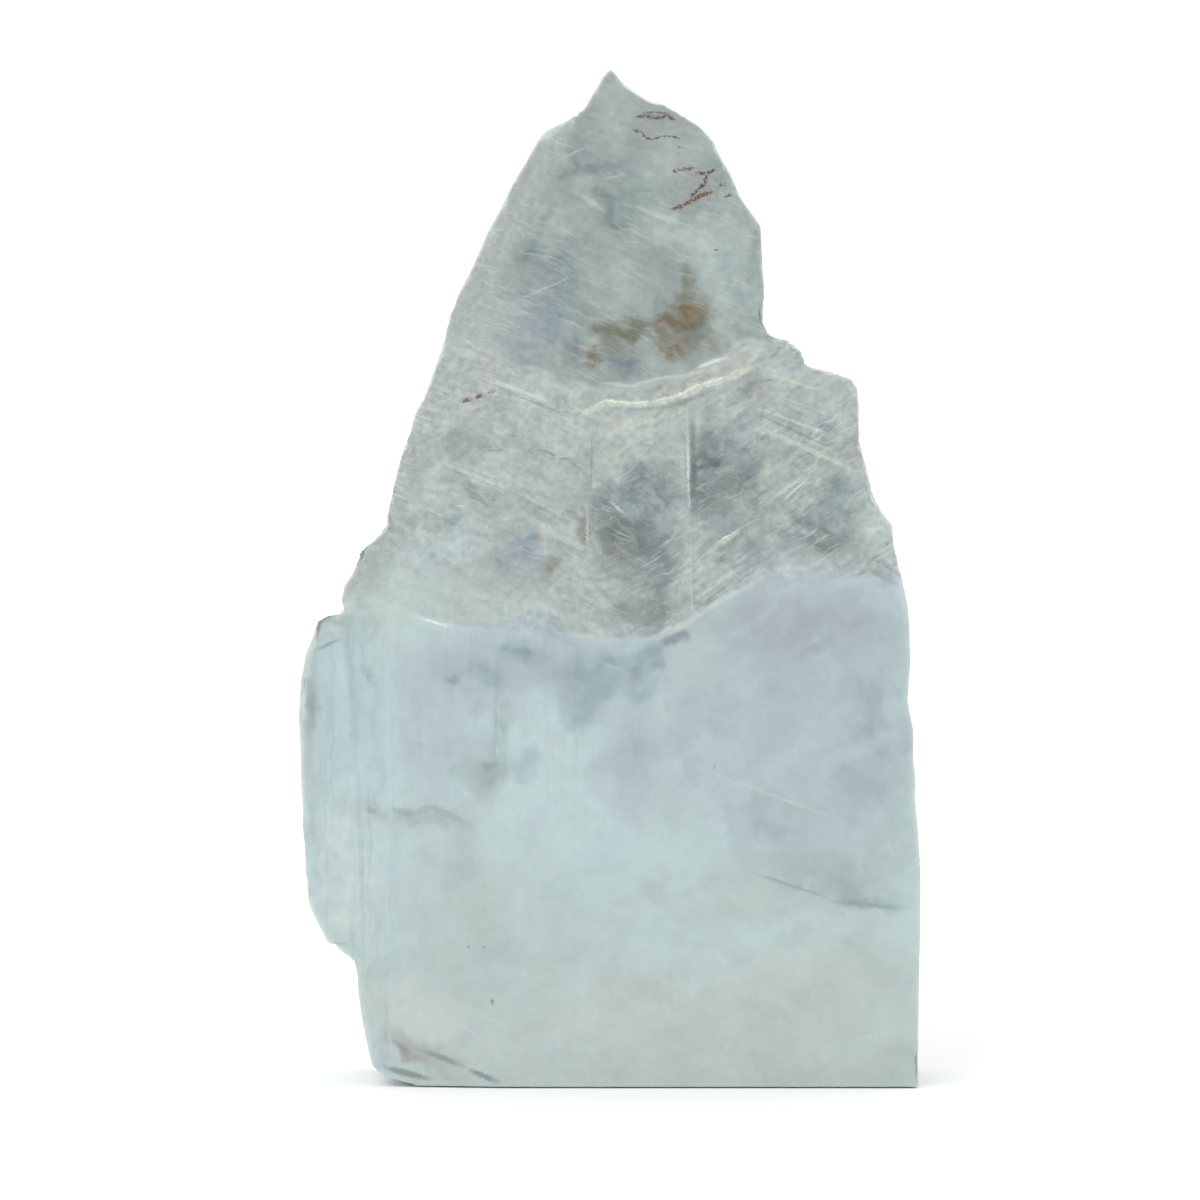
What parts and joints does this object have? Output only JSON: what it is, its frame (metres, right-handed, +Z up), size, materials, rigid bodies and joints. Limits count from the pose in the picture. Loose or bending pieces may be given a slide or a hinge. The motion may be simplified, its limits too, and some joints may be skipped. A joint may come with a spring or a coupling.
{
  "type": "selenite slab",
  "caption": "Rough slab of pale, cloudy selenite that stands on a flat sawn base and breaks in sheeted ledges up to a pointed tip.",
  "frame": {"origin": "middle of the sawn base, on the surface it stands on", "axes": "+Z up to the tip, the broad show face looks along -Y, +X to the right when facing it"},
  "size_m": [0.1094, 0.026, 0.18],
  "materials": {
    "selenite": "cloudy, part see-through crystal with a pearly, softly glossy cleavage face"
  },
  "bodies": {
    "root": {"selenite_slab": "selenite"}
  },
  "joints": []
}
